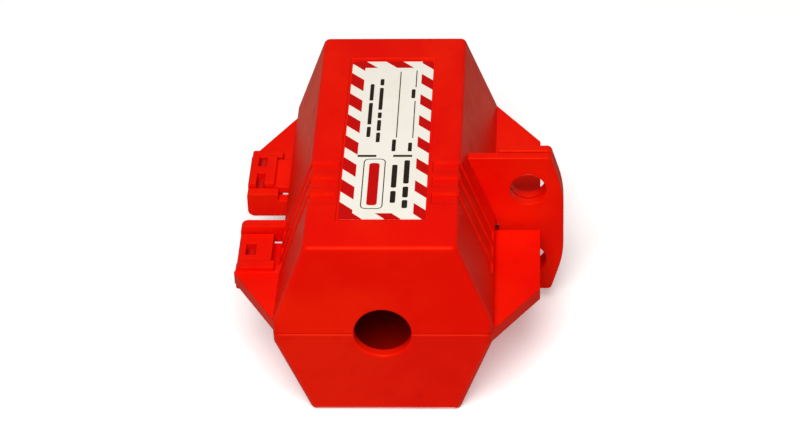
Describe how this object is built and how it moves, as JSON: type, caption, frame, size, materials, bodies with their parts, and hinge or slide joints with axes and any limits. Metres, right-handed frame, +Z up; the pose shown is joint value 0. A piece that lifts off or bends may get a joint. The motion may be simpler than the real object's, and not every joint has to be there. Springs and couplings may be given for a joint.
{
  "type": "plug lockout box",
  "caption": "Hinged clamshell box that encloses a power plug, with end holes for its cord and crossing hasp tabs that a safety padlock's shackle passes through.",
  "frame": {"origin": "centre of the closed box, on the parting plane and on the axis of the cord holes", "axes": "+X along the cord, the box's length; +Y towards the hinge side, so the hasp tabs are on -Y; +Z up, square to the parting plane"},
  "size_m": [0.089, 0.0763, 0.047],
  "materials": {
    "shell_plastic": "semi-gloss moulded polypropylene, fine moulding texture",
    "pin_plastic": "smooth red nylon rod",
    "label_film": "printed satin vinyl film",
    "label_red_ink": "red print on the label film",
    "label_black_ink": "black print on the label film"
  },
  "bodies": {
    "lower_half": {"lower_shell": "shell_plastic", "left_hinge_pin": "pin_plastic", "lower_label": "label_film"},
    "upper_half": {"upper_shell": "shell_plastic", "right_hinge_pin": "pin_plastic", "upper_label": "label_film"}
  },
  "joints": [
    {"name": "clamshell_hinge", "type": "hinge", "parent": "lower_half", "child": "upper_half", "pos_m": [0, 0.032, 0], "axis": [-1, 0, 0], "range_deg": [0, 180]}
  ]
}
